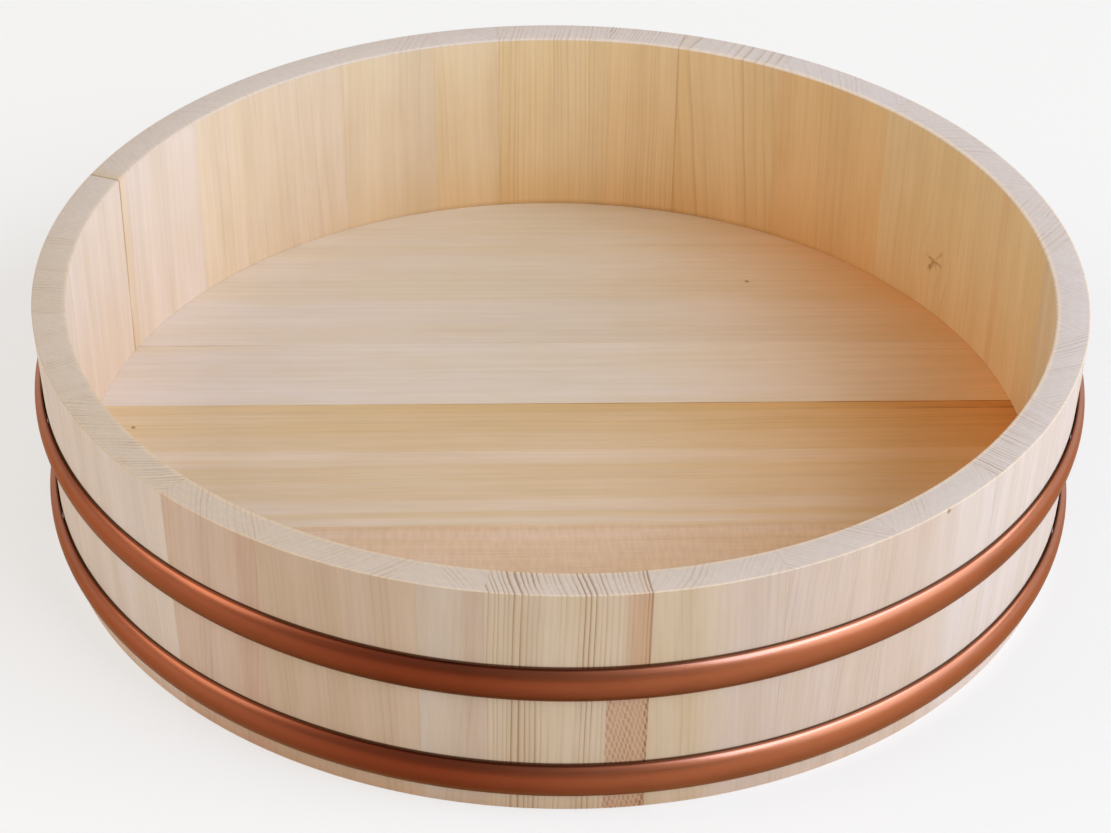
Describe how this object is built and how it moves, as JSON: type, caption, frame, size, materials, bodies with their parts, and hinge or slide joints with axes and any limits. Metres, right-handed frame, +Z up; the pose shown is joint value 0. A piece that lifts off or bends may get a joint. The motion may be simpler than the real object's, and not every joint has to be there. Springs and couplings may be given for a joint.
{
  "type": "sushi rice tub",
  "caption": "Wide shallow coopered wooden tub for cooling and dressing sushi rice: upright staves round a boarded floor, keyed with bamboo pins and bound by half-round copper hoops.",
  "frame": {"origin": "centre of the tub's foot, on the surface that it stands on", "axes": "+Z up along the tub's axis, +Y towards the back of the tub as pictured, +X to its right"},
  "size_m": [0.3632, 0.3634, 0.089],
  "materials": {
    "stave_wood": "planed bare softwood, matte",
    "floor_wood": "planed bare softwood, matte",
    "pin_bamboo": "split bamboo, raw",
    "hoop_copper": "satin rolled copper"
  },
  "bodies": {
    "root": {"stave_01": "stave_wood", "stave_02": "stave_wood", "stave_03": "stave_wood", "stave_04": "stave_wood", "stave_05": "stave_wood", "stave_06": "stave_wood", "stave_07": "stave_wood", "stave_08": "stave_wood", "stave_09": "stave_wood", "stave_10": "stave_wood", "stave_11": "stave_wood", "stave_12": "stave_wood", "stave_13": "stave_wood", "stave_14": "stave_wood", "stave_15": "stave_wood", "stave_16": "stave_wood", "stave_17": "stave_wood", "stave_18": "stave_wood", "stave_19": "stave_wood", "stave_20": "stave_wood", "stave_21": "stave_wood", "stave_22": "stave_wood", "stave_23": "stave_wood", "stave_24": "stave_wood", "stave_pin_01": "pin_bamboo", "stave_pin_02": "pin_bamboo", "stave_pin_03": "pin_bamboo", "stave_pin_04": "pin_bamboo", "stave_pin_05": "pin_bamboo", "stave_pin_06": "pin_bamboo", "stave_pin_07": "pin_bamboo", "stave_pin_08": "pin_bamboo", "stave_pin_09": "pin_bamboo", "stave_pin_10": "pin_bamboo", "stave_pin_11": "pin_bamboo", "stave_pin_12": "pin_bamboo", "stave_pin_13": "pin_bamboo", "stave_pin_14": "pin_bamboo", "stave_pin_15": "pin_bamboo", "stave_pin_16": "pin_bamboo", "stave_pin_17": "pin_bamboo", "stave_pin_18": "pin_bamboo", "stave_pin_19": "pin_bamboo", "stave_pin_20": "pin_bamboo", "stave_pin_21": "pin_bamboo", "stave_pin_22": "pin_bamboo", "stave_pin_23": "pin_bamboo", "stave_pin_24": "pin_bamboo", "floor_board_front": "floor_wood", "floor_board_wide": "floor_wood", "floor_board_narrow": "floor_wood", "floor_board_back": "floor_wood", "floor_pin_1": "pin_bamboo", "floor_pin_2": "pin_bamboo", "floor_pin_3": "pin_bamboo", "floor_pin_4": "pin_bamboo", "floor_pin_5": "pin_bamboo", "floor_pin_6": "pin_bamboo", "upper_hoop": "hoop_copper", "lower_hoop": "hoop_copper"}
  },
  "joints": []
}
